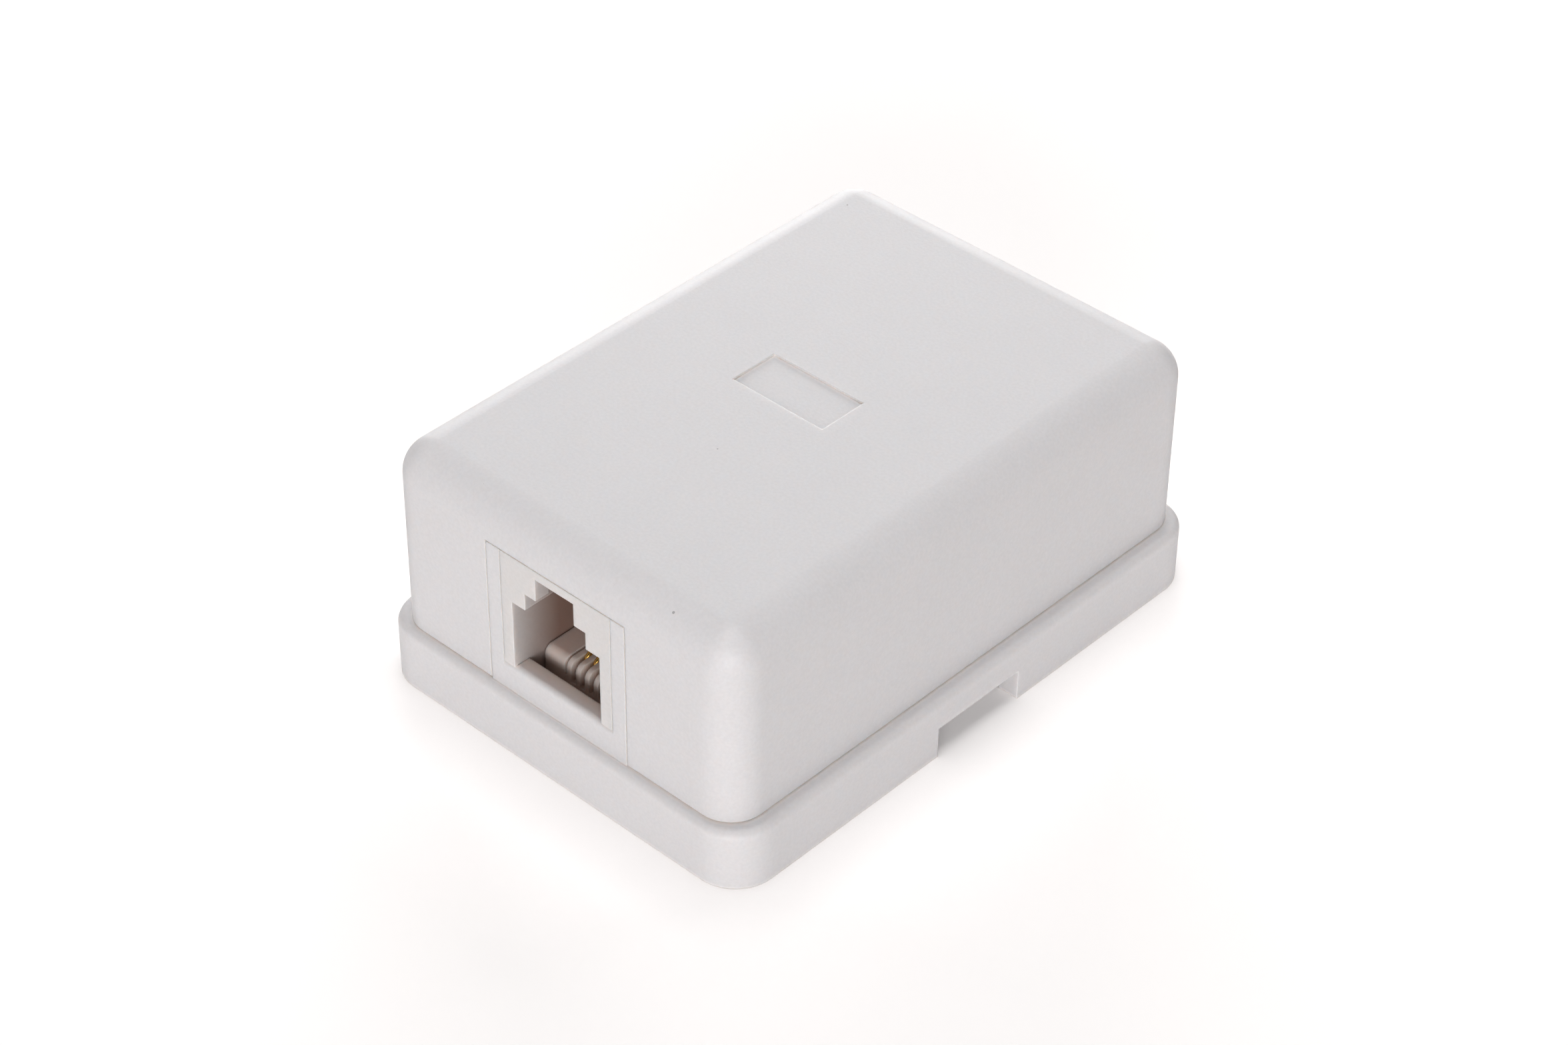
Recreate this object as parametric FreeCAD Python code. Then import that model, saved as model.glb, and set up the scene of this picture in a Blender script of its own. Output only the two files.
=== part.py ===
"""Surface mount jack box with one six-position modular socket and four screw terminals.

Frame: millimetres, +Z up, origin on the mounting surface under the middle of the base.
The socket faces -Y, X runs across the box and the cover lifts off along +Z.
"""
import FreeCAD
import Part
import math
import os

V = FreeCAD.Vector

# ---- base moulding -------------------------------------------------------------------
BASE_WIDTH = 41.0            # across the skirt, X
BASE_LENGTH = 57.0           # along the skirt, Y
BASE_CORNER_R = 3.9          # skirt corners in plan
LEDGE_EDGE_R = 0.7           # rounded outer edge of the ledge
SKIRT_WALL = 2.0
FLOOR_THICK = 2.0            # floor plate between the skirt walls
SIDE_LEDGE = 1.3             # skirt stands out past the cover's long sides
END_LEDGE = 0.85             # and past its ends
RIM_WALL = 1.2               # locating rim inside the cover
RIM_HEIGHT = 2.5
RIM_GAP = 0.1                # rim to cover
NOTCH_LENGTH = 9.9           # cable notch in each long side of the skirt
NOTCH_HEIGHT = 3.0

# ---- cover moulding ------------------------------------------------------------------
OVERALL_HEIGHT = 23.8
COVER_WALL = 1.8
COVER_CORNER_R = 3.2         # outside, in plan
COVER_TOP_R = 3.1            # rounded edge all round the top
COVER_BOTTOM_CHAMFER = 0.2
COVER_INSIDE_CHAMFER = 1.4   # inner corner between the walls and the ceiling
RECESS_WIDTH = 9.9           # shallow plain recess on the top, X
RECESS_LENGTH = 4.95         # Y
RECESS_DEPTH = 0.25
CUTOUT_GAP = 0.12            # cover to front upstand

# ---- snap beads between the rim and the cover ----------------------------------------
BEAD_LENGTH = 8.0
BEAD_R = 0.4
BEAD_PROUD = 0.22            # how far a bead stands out of the rim
BEAD_Y = 14.0                # beads at plus and minus this Y on each long side
BEAD_UP = 1.5                # bead centre above the ledge
BEAD_GAP = 0.06              # bead to its groove in the cover

# ---- socket, front upstand and its posts ---------------------------------------------
PANEL_HALF_WIDTH = 7.65      # front upstand, flush with the cover
SILL_HEIGHT = 2.8            # base's front wall under the opening, above the ledge
SILL_WALL = 1.6
SILL_EDGE_R = 0.45
JACK_HALF_WIDTH = 6.1
JACK_DEPTH = 15.2
JACK_GAP = 0.08              # socket moulding to posts
JACK_WALL_BACK = 1.6
OPEN_HALF_WIDTH = 4.9        # six-position opening
OPEN_HEIGHT = 6.76           # sill to the opening's top
STEP_HALF_WIDTH = 3.4        # latch step
STEP_RISE = 1.65             # above the opening
LATCH_HALF_WIDTH = 2.14      # latch channel
LATCH_RISE = 2.17            # above the step
JACK_ROOF = 0.82             # socket moulding above the latch channel
CEILING_SPACE = 2.05         # socket moulding to the cover's ceiling
FRONT_PLATE = 1.5            # wall that the plug's latch catches behind
LATCH_POCKET_DEPTH = 11.5
POST_DEPTH = 5.2
POST_HALF_WIDTH = 9.4        # posts widen behind the cover's front wall
POST_BACK_START = 2.2        # where that widening starts, behind the front face
RAIL_WIDTH = 0.9             # rails on the socket run in grooves in the posts
RAIL_THICK = 1.2
RAIL_SET_BACK = 2.3          # rail's front face behind the front face
RAIL_TOP_DROP = 1.0
RAIL_GAP = 0.08
HOLD_RIB_WIDTH = 1.0         # cover ribs that keep the socket down
HOLD_RIB_LENGTH = 9.0
HOLD_RIB_X = 3.0
HOLD_RIB_GAP = 0.1

# ---- contacts ------------------------------------------------------------------------
CONTACTS = 4
CONTACT_PITCH = 1.02
WIRE_D = 0.46
SLOT_WIDTH = 0.52            # gap between two fins
CARRIER_ABOVE_SILL = 0.3
CARRIER_SET_BACK = 3.2       # carrier's nose behind the front face
CARRIER_GAP = 0.1            # carrier to the socket's side walls
CARRIER_NOSE_R = 0.8
SLOT_DEPTH = 2.0             # below the carrier's top
SIDE_GROOVE = 0.25           # groove between the outer fin and the blank block
SIDE_GROOVE_DEPTH = 1.6
WIRE_FLOOR_GAP = 0.08
BEND_R = 0.9                 # wire's bend round the carrier, to its centre line
BEND_SET_BACK = 5.55         # bend centre behind the front face
WIRE_RISE_DEG = 30.0
WIRE_END_GAP = 1.0           # free end to the cavity's back wall
GUIDE_RIB_DEPTH = 1.7        # ribs on the socket's back wall, between the free ends
GUIDE_RIB_BOTTOM = 1.65      # above the sill
GUIDE_RIB_HEIGHT = 4.4

# ---- screw terminals -----------------------------------------------------------------
TERMINAL_FROM_JACK = 11.45   # front terminals behind the socket moulding's back
TERMINAL_PITCH = 15.0        # front to rear terminals
BOSS_SIDE = 8.0
BOSS_HEIGHT = 2.75           # above the floor
BOSS_CORNER = 1.2            # cut corners of the bosses and washers
BARRIER_THICK = 1.0          # wall outside each boss, stops the washer turning
BARRIER_HEIGHT = 3.7         # above the boss
BARRIER_INSET = 1.25         # clear space between the barrier and the cover's wall
BARRIER_GAP = 0.15
SHANK_D = 3.0
SHANK_LENGTH = 5.5
SHANK_GAP = 0.05             # radial, shank in boss and washer
BORE_BOTTOM_GAP = 0.2
HEAD_D = 6.2
HEAD_HEIGHT = 2.1
HEAD_CHAMFER = 0.7
DRIVE_WIDTH = 0.9
DRIVE_DEPTH = 1.1
DRIVE_LENGTH = 4.2
WASHER_SIDE = 7.0
WASHER_THICK = 0.8

# ---- leads and spade lugs ------------------------------------------------------------
LEAD_D = 0.94
BAR_SIDES = 6                # wires, leads and barrels are drawn with flats, these many
BARREL_SIDES = 8
LUG_THICK = 0.7
LUG_WIDTH = 6.2
LUG_SLOT = 3.5               # fork slot, clear of the shank
LUG_NECK = 2.4
LUG_REACH = 8.6              # screw axis to the barrel's mouth
BARREL_R = 1.0
BARREL_LENGTH = 3.6
LEAD_GAP = 0.05              # lead to the flats of the barrel's bore
LEAD_IN_BARREL = 3.0
LUG_TURN_DEG = 53.0          # lug's angle from the X axis, towards the socket
LANE_FROM_TERMINAL = 6.1     # rear leads run this far inside the terminals

# ---- holes in the floor --------------------------------------------------------------
MOUNT_HOLE_R = 2.1
MOUNT_HOLE_INSET = 6.5       # rear hole from the base's rear end
MOUNT_HOLE_PITCH = 24.0
MOUNT_BOSS_R = 4.0
ENTRY_WIDTH = 9.0            # cable entry through the floor, X
ENTRY_LENGTH = 8.0           # Y, midway between the mounting holes
ENTRY_CORNER_R = 1.5
RIB_THICK = 1.2              # stiffening ribs under the floor
RIB_X = 12.0
RIB_LIFT = 0.6               # ribs stop short of the mounting surface

# ---- values worked out from the sizes above ------------------------------------------
COVER_HALF_X = BASE_WIDTH / 2 - SIDE_LEDGE
COVER_HALF_Y = BASE_LENGTH / 2 - END_LEDGE
FRONT_Y = -COVER_HALF_Y
# heights from the top down: the skirt takes up a change of the overall height
CEILING_Z = OVERALL_HEIGHT - COVER_WALL
PANEL_TOP_Z = CEILING_Z - CEILING_SPACE
LATCH_TOP_Z = PANEL_TOP_Z - JACK_ROOF
STEP_TOP_Z = LATCH_TOP_Z - LATCH_RISE
OPEN_TOP_Z = STEP_TOP_Z - STEP_RISE
SILL_Z = OPEN_TOP_Z - OPEN_HEIGHT
SEAM_Z = SILL_Z - SILL_HEIGHT
FLOOR_UNDER_Z = SEAM_Z - FLOOR_THICK
RIM_HALF_X = COVER_HALF_X - COVER_WALL - RIM_GAP
RIM_HALF_Y = COVER_HALF_Y - COVER_WALL - RIM_GAP
COVER_INNER_R = max(COVER_CORNER_R - COVER_WALL, COVER_INSIDE_CHAMFER + 0.1)
JACK_BACK_Y = FRONT_Y + JACK_DEPTH
CAVITY_BACK_Y = JACK_BACK_Y - JACK_WALL_BACK
CARRIER_NOSE_Y = FRONT_Y + CARRIER_SET_BACK
CARRIER_TOP_Z = SILL_Z + CARRIER_ABOVE_SILL
SLOT_FLOOR_Z = CARRIER_TOP_Z - SLOT_DEPTH
WIRE_RUN_Z = SLOT_FLOOR_Z + WIRE_FLOOR_GAP + WIRE_D / 2
CONTACT_XS = [(i - (CONTACTS - 1) / 2) * CONTACT_PITCH for i in range(CONTACTS)]
FIN_XS = [(i - CONTACTS / 2) * CONTACT_PITCH for i in range(CONTACTS + 1)]
TERMINAL_FRONT_Y = JACK_BACK_Y + TERMINAL_FROM_JACK
TERMINAL_REAR_Y = TERMINAL_FRONT_Y + TERMINAL_PITCH
BARRIER_OUTER_X = COVER_HALF_X - COVER_WALL - BARRIER_INSET
TERMINAL_X = BARRIER_OUTER_X - BARRIER_THICK - BARRIER_GAP - WASHER_SIDE / 2
BOSS_TOP_Z = SEAM_Z + BOSS_HEIGHT
WASHER_Z = BOSS_TOP_Z + LUG_THICK
HEAD_Z = WASHER_Z + WASHER_THICK
SHANK_END_Z = HEAD_Z - SHANK_LENGTH
BARREL_Z = BOSS_TOP_Z + BARREL_R
# terminals in the order of the contacts, left to right, as (side, Y)
TERMINALS = [(-1, TERMINAL_FRONT_Y), (-1, TERMINAL_REAR_Y),
             (1, TERMINAL_REAR_Y), (1, TERMINAL_FRONT_Y)]
LEAD_NAMES = ["lead_black", "lead_red", "lead_green", "lead_yellow"]
MOUNT_HOLE_REAR_Y = BASE_LENGTH / 2 - MOUNT_HOLE_INSET
MOUNT_HOLE_YS = (MOUNT_HOLE_REAR_Y - MOUNT_HOLE_PITCH, MOUNT_HOLE_REAR_Y)
ENTRY_Y = MOUNT_HOLE_REAR_Y - MOUNT_HOLE_PITCH / 2


def box(x0, x1, y0, y1, z0, z1):
    """Block between two corners."""
    return Part.makeBox(x1 - x0, y1 - y0, z1 - z0, V(x0, y0, z0))


def round_rect(half_x, half_y, radius, z, centre=(0.0, 0.0)):
    """Closed wire of a rectangle with rounded corners, seen from above."""
    cx, cy = centre
    diagonal = radius * math.sqrt(0.5)
    edges = []
    corners = [(1, -1), (1, 1), (-1, 1), (-1, -1)]
    points = []
    for sx, sy in corners:
        mx = cx + sx * (half_x - radius)
        my = cy + sy * (half_y - radius)
        on_end = V(mx, my + sy * radius, z)
        on_side = V(mx + sx * radius, my, z)
        middle = V(mx + sx * diagonal, my + sy * diagonal, z)
        first, last = (on_end, on_side) if sx == -sy else (on_side, on_end)
        points.append((first, middle, last))
    for i, (first, middle, last) in enumerate(points):
        edges.append(Part.Arc(first, middle, last).toShape())
        following = points[(i + 1) % len(points)][0]
        edges.append(Part.LineSegment(last, following).toShape())
    return Part.Wire(edges)


def cut_corner_block(half, corner, z0, z1, centre):
    """Square block with its four upright corners cut off."""
    cx, cy = centre
    near = half - corner
    outline = [(half, -near), (half, near), (near, half), (-near, half),
               (-half, near), (-half, -near), (-near, -half), (near, -half)]
    points = [V(cx + x, cy + y, z0) for x, y in outline]
    return Part.Face(Part.makePolygon(points + points[:1])).extrude(V(0, 0, z1 - z0))


def slab(half_x, half_y, radius, z0, z1, centre=(0.0, 0.0)):
    """Straight-sided block with rounded corners in plan."""
    face = Part.Face(round_rect(half_x, half_y, radius, z0, centre))
    return face.extrude(V(0, 0, z1 - z0))


def edges_at(shape, z, tol=0.001):
    """Edges of a shape that lie wholly at one height."""
    return [e for e in shape.Edges
            if abs(e.BoundBox.ZMin - z) < tol and abs(e.BoundBox.ZMax - z) < tol]


def clean(shape):
    """Merge split faces and hand back a plain solid or a group of solids."""
    shape = shape.removeSplitter()
    return shape.Solids[0] if len(shape.Solids) == 1 else Part.makeCompound(shape.Solids)


def rounded_path(points, radius):
    """Straight runs joined by tangent arcs, as one wire."""
    edges = []
    start = points[0]
    for before, corner, after in zip(points, points[1:], points[2:]):
        into = (corner - before).normalize()
        out = (after - corner).normalize()
        turn = into.getAngle(out)
        trim = radius * math.tan(turn / 2)
        arc_start = corner - into * trim
        arc_end = corner + out * trim
        inward = (out - into).normalize()
        middle = corner + inward * (radius / math.cos(turn / 2) - radius)
        edges.append(Part.LineSegment(start, arc_start).toShape())
        edges.append(Part.Arc(arc_start, middle, arc_end).toShape())
        start = arc_end
    edges.append(Part.LineSegment(start, points[-1]).toShape())
    return Part.Wire(edges)


def polygon_across(centre, direction, radius, sides):
    """Regular polygon at right angles to a level direction, as a closed wire."""
    along = V(direction).normalize()
    across = along.cross(V(0, 0, 1))
    corners = []
    for i in range(sides):
        turn = 2 * math.pi * (i + 0.5) / sides
        offset = across * (radius * math.cos(turn)) + V(0, 0, radius * math.sin(turn))
        corners.append(centre + offset)
    return Part.makePolygon(corners + corners[:1])


def bar(path, start, direction, diameter):
    """Thin wire or lead along a path, with a few flats in place of a round section."""
    section = polygon_across(start, direction, diameter / 2, BAR_SIDES)
    return path.makePipeShell([section], True, False)


def bead(side, y, radius):
    """Half-buried round bead along the rim's long side."""
    x = side * (RIM_HALF_X + BEAD_PROUD - BEAD_R)
    start = V(x, y - BEAD_LENGTH / 2, SEAM_Z + BEAD_UP)
    return Part.makeCylinder(radius, BEAD_LENGTH, start, V(0, 1, 0))


# ---- base ----------------------------------------------------------------------------
def skirt_and_floor():
    """Low tray, open below, with a rounded ledge for the cover."""
    tray = slab(BASE_WIDTH / 2, BASE_LENGTH / 2, BASE_CORNER_R, 0, SEAM_Z)
    tray = tray.makeFillet(LEDGE_EDGE_R, edges_at(tray, SEAM_Z))
    hollow = slab(BASE_WIDTH / 2 - SKIRT_WALL, BASE_LENGTH / 2 - SKIRT_WALL,
                  BASE_CORNER_R - SKIRT_WALL, 0, FLOOR_UNDER_Z)
    tray = tray.cut(hollow)
    for side in (-1, 1):
        rib = box(side * RIB_X - RIB_THICK / 2, side * RIB_X + RIB_THICK / 2,
                  NOTCH_LENGTH / 2 + SKIRT_WALL, BASE_LENGTH / 2 - SKIRT_WALL,
                  RIB_LIFT, FLOOR_UNDER_Z)
        front_rib = rib.mirror(V(0, 0, 0), V(0, 1, 0))
        tray = tray.fuse([rib, front_rib])
    for y in MOUNT_HOLE_YS:
        tray = tray.fuse(Part.makeCylinder(MOUNT_BOSS_R, FLOOR_UNDER_Z, V(0, y, 0)))
    notch = box(-BASE_WIDTH, BASE_WIDTH, -NOTCH_LENGTH / 2, NOTCH_LENGTH / 2, 0, NOTCH_HEIGHT)
    keep = slab(BASE_WIDTH / 2 - SKIRT_WALL, BASE_LENGTH / 2, BASE_CORNER_R - SKIRT_WALL, 0, SEAM_Z)
    return tray.cut(notch.cut(keep))


def rim():
    """Locating rim inside the cover, open behind the front upstand."""
    outer = slab(RIM_HALF_X, RIM_HALF_Y, COVER_INNER_R, SEAM_Z, SEAM_Z + RIM_HEIGHT)
    inner = slab(RIM_HALF_X - RIM_WALL, RIM_HALF_Y - RIM_WALL, max(COVER_INNER_R - RIM_WALL, 0.2),
                 SEAM_Z, SEAM_Z + RIM_HEIGHT)
    ring = outer.cut(inner)
    front_gap = box(-POST_HALF_WIDTH, POST_HALF_WIDTH, -RIM_HALF_Y, FRONT_Y + POST_DEPTH,
                    SEAM_Z, SEAM_Z + RIM_HEIGHT)
    ring = ring.cut(front_gap)
    beads = [bead(side, y, BEAD_R) for side in (-1, 1) for y in (-BEAD_Y, BEAD_Y)]
    return ring.fuse(beads)


def front_upstand():
    """Front wall under the opening and two grooved posts that hold the socket."""
    back_y = FRONT_Y + POST_DEPTH
    sill = box(-PANEL_HALF_WIDTH, PANEL_HALF_WIDTH, FRONT_Y, FRONT_Y + SILL_WALL, SEAM_Z, SILL_Z)
    front_edge = [e for e in edges_at(sill, SILL_Z) if e.BoundBox.YMax < FRONT_Y + 0.01]
    sill = sill.makeFillet(SILL_EDGE_R, front_edge)
    parts = [sill]
    inner_x = JACK_HALF_WIDTH + JACK_GAP
    groove_x = JACK_HALF_WIDTH + RAIL_WIDTH + RAIL_GAP
    rail_y = FRONT_Y + RAIL_SET_BACK
    for side in (-1, 1):
        xs = sorted((side * inner_x, side * PANEL_HALF_WIDTH))
        post = box(xs[0], xs[1], FRONT_Y, back_y, SEAM_Z, PANEL_TOP_Z)
        xs = sorted((side * inner_x, side * POST_HALF_WIDTH))
        wide = box(xs[0], xs[1], FRONT_Y + POST_BACK_START, back_y, SEAM_Z, PANEL_TOP_Z)
        xs = sorted((0.0, side * groove_x))
        groove = box(xs[0], xs[1], rail_y - RAIL_GAP, rail_y + RAIL_THICK + RAIL_GAP,
                     SEAM_Z, OVERALL_HEIGHT)
        parts.append(post.fuse(wide).cut(groove))
    return parts


def terminal_boss(side, y):
    """Square boss with a blind bore and a barrier wall on its outer side."""
    centre = (side * TERMINAL_X, y)
    boss = cut_corner_block(BOSS_SIDE / 2, BOSS_CORNER, SEAM_Z, BOSS_TOP_Z, centre)
    xs = sorted((side * BARRIER_OUTER_X, side * (BARRIER_OUTER_X - BARRIER_THICK)))
    barrier = box(xs[0], xs[1], y - BOSS_SIDE / 2, y + BOSS_SIDE / 2,
                  SEAM_Z, BOSS_TOP_Z + BARRIER_HEIGHT)
    return boss.fuse(barrier)


def terminal_bore(side, y):
    """Blind bore for a terminal screw, down through the boss into the floor."""
    bottom = SHANK_END_Z - BORE_BOTTOM_GAP
    return Part.makeCylinder(SHANK_D / 2 + SHANK_GAP, OVERALL_HEIGHT,
                             V(side * TERMINAL_X, y, bottom))


def make_base():
    body = skirt_and_floor().fuse(rim()).fuse(front_upstand())
    body = body.fuse([terminal_boss(side, y) for side, y in TERMINALS])
    for side, y in TERMINALS:
        body = body.cut(terminal_bore(side, y))
    for y in MOUNT_HOLE_YS:
        body = body.cut(Part.makeCylinder(MOUNT_HOLE_R, SEAM_Z, V(0, y, 0)))
    entry = slab(ENTRY_WIDTH / 2, ENTRY_LENGTH / 2, ENTRY_CORNER_R, 0, SEAM_Z, (0, ENTRY_Y))
    return clean(body.cut(entry))


# ---- cover ---------------------------------------------------------------------------
def make_cover():
    shell = slab(COVER_HALF_X, COVER_HALF_Y, COVER_CORNER_R, SEAM_Z, OVERALL_HEIGHT)
    top_r = min(COVER_TOP_R, COVER_CORNER_R - 0.05)
    shell = shell.makeFillet(top_r, edges_at(shell, OVERALL_HEIGHT))
    shell = shell.makeChamfer(COVER_BOTTOM_CHAMFER, edges_at(shell, SEAM_Z))
    inside = slab(COVER_HALF_X - COVER_WALL, COVER_HALF_Y - COVER_WALL,
                  COVER_INNER_R, SEAM_Z, CEILING_Z)
    inside = inside.makeChamfer(COVER_INSIDE_CHAMFER, edges_at(inside, CEILING_Z))
    shell = shell.cut(inside)
    half = PANEL_HALF_WIDTH + CUTOUT_GAP
    shell = shell.cut(box(-half, half, FRONT_Y - 1, FRONT_Y + COVER_WALL + 1,
                          SEAM_Z, PANEL_TOP_Z + CUTOUT_GAP))
    shell = shell.cut(box(-RECESS_WIDTH / 2, RECESS_WIDTH / 2, -RECESS_LENGTH / 2,
                          RECESS_LENGTH / 2, OVERALL_HEIGHT - RECESS_DEPTH, OVERALL_HEIGHT))
    for side in (-1, 1):
        for y in (-BEAD_Y, BEAD_Y):
            shell = shell.cut(bead(side, y, BEAD_R + BEAD_GAP))
        rib = box(side * HOLD_RIB_X - HOLD_RIB_WIDTH / 2, side * HOLD_RIB_X + HOLD_RIB_WIDTH / 2,
                  FRONT_Y + COVER_WALL, FRONT_Y + COVER_WALL + HOLD_RIB_LENGTH,
                  PANEL_TOP_Z + HOLD_RIB_GAP, CEILING_Z)
        shell = shell.fuse(rib)
    return clean(shell)


# ---- socket --------------------------------------------------------------------------
def make_jack_housing():
    body = box(-JACK_HALF_WIDTH, JACK_HALF_WIDTH, FRONT_Y, JACK_BACK_Y, SEAM_Z, PANEL_TOP_Z)
    rail_y = FRONT_Y + RAIL_SET_BACK
    for side in (-1, 1):
        xs = sorted((side * OPEN_HALF_WIDTH, side * (JACK_HALF_WIDTH + RAIL_WIDTH)))
        body = body.fuse(box(xs[0], xs[1], rail_y, rail_y + RAIL_THICK,
                             SEAM_Z, PANEL_TOP_Z - RAIL_TOP_DROP))
    # room for the base's front wall
    body = body.cut(box(-JACK_HALF_WIDTH, JACK_HALF_WIDTH, FRONT_Y,
                        FRONT_Y + SILL_WALL + JACK_GAP, SEAM_Z, SILL_Z))
    # plug cavity, open below for the contact carrier
    body = body.cut(box(-OPEN_HALF_WIDTH, OPEN_HALF_WIDTH, FRONT_Y, CAVITY_BACK_Y,
                        SEAM_Z, OPEN_TOP_Z))
    body = body.cut(box(-OPEN_HALF_WIDTH, OPEN_HALF_WIDTH, FRONT_Y, JACK_BACK_Y,
                        SEAM_Z, CARRIER_TOP_Z))
    # stepped latch opening in the front plate, and the pocket behind it
    body = body.cut(box(-STEP_HALF_WIDTH, STEP_HALF_WIDTH, FRONT_Y, FRONT_Y + FRONT_PLATE,
                        OPEN_TOP_Z, STEP_TOP_Z))
    body = body.cut(box(-LATCH_HALF_WIDTH, LATCH_HALF_WIDTH, FRONT_Y, FRONT_Y + FRONT_PLATE,
                        STEP_TOP_Z, LATCH_TOP_Z))
    body = body.cut(box(-STEP_HALF_WIDTH, STEP_HALF_WIDTH, FRONT_Y + FRONT_PLATE,
                        FRONT_Y + FRONT_PLATE + LATCH_POCKET_DEPTH, OPEN_TOP_Z, LATCH_TOP_Z))
    rib_z = SILL_Z + GUIDE_RIB_BOTTOM
    for x in FIN_XS:
        half = (CONTACT_PITCH - SLOT_WIDTH) / 2
        body = body.fuse(box(x - half, x + half, CAVITY_BACK_Y - GUIDE_RIB_DEPTH, CAVITY_BACK_Y,
                             rib_z, rib_z + GUIDE_RIB_HEIGHT))
    return clean(body)


def make_contact_carrier():
    """Block behind the sill: blank at the sides, slots and fins in the middle."""
    half = OPEN_HALF_WIDTH - CARRIER_GAP
    body = box(-half, half, CARRIER_NOSE_Y, JACK_BACK_Y, SEAM_Z, CARRIER_TOP_Z)
    nose = [e for e in edges_at(body, CARRIER_TOP_Z) if e.BoundBox.YMax < CARRIER_NOSE_Y + 0.01]
    body = body.makeFillet(CARRIER_NOSE_R, nose)
    for x in CONTACT_XS:
        body = body.cut(box(x - SLOT_WIDTH / 2, x + SLOT_WIDTH / 2, CARRIER_NOSE_Y, JACK_BACK_Y,
                            SLOT_FLOOR_Z, CARRIER_TOP_Z))
    fin_edge = FIN_XS[-1] + (CONTACT_PITCH - SLOT_WIDTH) / 2
    for side in (-1, 1):
        xs = sorted((side * fin_edge, side * (fin_edge + SIDE_GROOVE)))
        body = body.cut(box(xs[0], xs[1], CARRIER_NOSE_Y, JACK_BACK_Y,
                            CARRIER_TOP_Z - SIDE_GROOVE_DEPTH, CARRIER_TOP_Z))
    return clean(body)


def make_contact_wire(x):
    """Spring wire: runs forward in its slot, bends back round and rises to the guide ribs."""
    rise = math.radians(WIRE_RISE_DEG)
    bend_y = FRONT_Y + BEND_SET_BACK
    bend_z = WIRE_RUN_Z + BEND_R
    run_start = V(x, JACK_BACK_Y, WIRE_RUN_Z)
    run_end = V(x, bend_y, WIRE_RUN_Z)
    bend_mid = V(x, bend_y - BEND_R, bend_z)
    bend_end = V(x, bend_y - BEND_R * math.sin(rise), bend_z + BEND_R * math.cos(rise))
    arm = CAVITY_BACK_Y - WIRE_END_GAP - bend_end.y
    tip = bend_end + V(0, arm, arm * math.tan(rise))
    path = Part.Wire([Part.LineSegment(run_start, run_end).toShape(),
                      Part.Arc(run_end, bend_mid, bend_end).toShape(),
                      Part.LineSegment(bend_end, tip).toShape()])
    return bar(path, run_start, run_end - run_start, WIRE_D)


# ---- terminals -----------------------------------------------------------------------
def lug_direction(side):
    """Unit vector in plan from the screw towards the lug's barrel."""
    turn = math.radians(LUG_TURN_DEG)
    return V(-side * math.cos(turn), -math.sin(turn), 0)


def place_on_terminal(shape, side, y):
    """Turn a piece drawn along +X at the origin to its lug's direction, and set it down."""
    along = lug_direction(side)
    angle = math.degrees(math.atan2(along.y, along.x))
    shape.rotate(V(0, 0, 0), V(0, 0, 1), angle)
    shape.translate(V(side * TERMINAL_X, y, BOSS_TOP_Z))
    return shape


def make_spade_lug(side, y):
    half = LUG_WIDTH / 2
    fork = cut_corner_block(half, LUG_WIDTH * 0.27, 0, LUG_THICK, (0, 0))
    fork = fork.cut(box(-LUG_WIDTH, 0, -LUG_SLOT / 2, LUG_SLOT / 2, 0, LUG_THICK))
    fork = fork.cut(Part.makeCylinder(LUG_SLOT / 2, LUG_THICK))
    barrel_x = LUG_REACH - BARREL_LENGTH
    neck = box(half - LUG_THICK, barrel_x + LUG_THICK, -LUG_NECK / 2, LUG_NECK / 2, 0, LUG_THICK)
    solids = []
    for to_flat, sides in ((BARREL_R, BARREL_SIDES), (LEAD_D / 2 + LEAD_GAP, BAR_SIDES)):
        to_corner = to_flat / math.cos(math.pi / sides)
        ring = polygon_across(V(barrel_x, 0, BARREL_R), V(1, 0, 0), to_corner, sides)
        solids.append(Part.Face(ring).extrude(V(BARREL_LENGTH, 0, 0)))
    barrel = solids[0].cut(solids[1])
    return place_on_terminal(clean(fork.fuse(neck.cut(solids[1])).fuse(barrel)), side, y)


def make_washer(side, y):
    half = WASHER_SIDE / 2
    plate = cut_corner_block(half, BOSS_CORNER, WASHER_Z, HEAD_Z, (side * TERMINAL_X, y))
    hole = Part.makeCylinder(SHANK_D / 2 + SHANK_GAP, WASHER_THICK, V(side * TERMINAL_X, y, WASHER_Z))
    return clean(plate.cut(hole))


def make_screw(side, y):
    """Pan head screw with a crossed slot."""
    centre = V(side * TERMINAL_X, y, 0)
    top = HEAD_Z + HEAD_HEIGHT
    head = Part.makeCylinder(HEAD_D / 2, HEAD_HEIGHT, centre + V(0, 0, HEAD_Z))
    head = head.makeChamfer(HEAD_CHAMFER, edges_at(head, top))
    shank = Part.makeCylinder(SHANK_D / 2, SHANK_LENGTH, centre + V(0, 0, SHANK_END_Z))
    screw = head.fuse(shank)
    for long_x, long_y in ((DRIVE_LENGTH, DRIVE_WIDTH), (DRIVE_WIDTH, DRIVE_LENGTH)):
        screw = screw.cut(box(centre.x - long_x / 2, centre.x + long_x / 2,
                              y - long_y / 2, y + long_y / 2, top - DRIVE_DEPTH, top))
    return clean(screw)


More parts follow.
